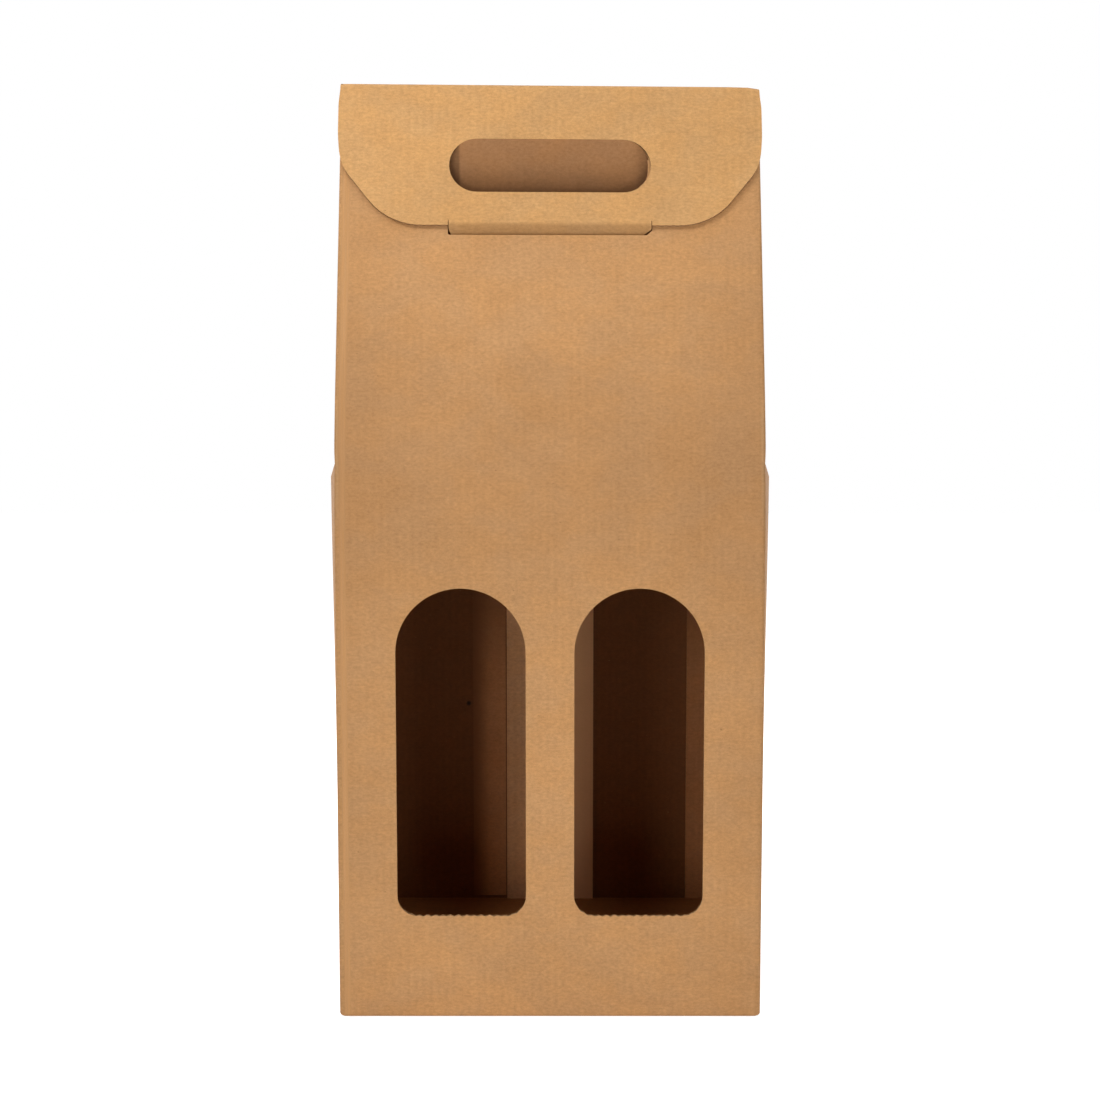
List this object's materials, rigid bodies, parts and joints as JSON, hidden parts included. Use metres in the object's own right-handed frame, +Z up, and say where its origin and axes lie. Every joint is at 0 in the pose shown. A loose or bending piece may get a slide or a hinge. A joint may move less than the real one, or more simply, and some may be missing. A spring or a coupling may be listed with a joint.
{
  "type": "wine box with window",
  "caption": "Corrugated carrying carton for wine bottles with a gable top, fold-over lid, push-in hand hole and arched front windows.",
  "frame": {"origin": "middle of the base, on the surface that the carton stands on", "axes": "+Z up, +X along the ridge, front with the windows towards -Y"},
  "size_m": [0.191, 0.09, 0.3982],
  "materials": {
    "carton_board": "matte kraft liner",
    "lid_board": "matte kraft liner",
    "flap_board": "matte kraft liner",
    "inner_board": "matte kraft liner"
  },
  "bodies": {
    "carton": {"carton": "carton_board", "divider": "inner_board", "base_tray": "inner_board"},
    "lid": {"lid": "lid_board"},
    "hand_flap": {"hand_flap": "flap_board"}
  },
  "joints": [
    {"name": "lid_hinge", "type": "hinge", "parent": "carton", "child": "lid", "pos_m": [0, 0.003, 0.3982], "axis": [-1, 0, 0], "range_deg": [0, 200]},
    {"name": "hand_flap_hinge", "type": "hinge", "parent": "lid", "child": "hand_flap", "pos_m": [0, -0.00907, 0.37359], "axis": [1, 0, 0], "range_deg": [-25, 45]}
  ]
}
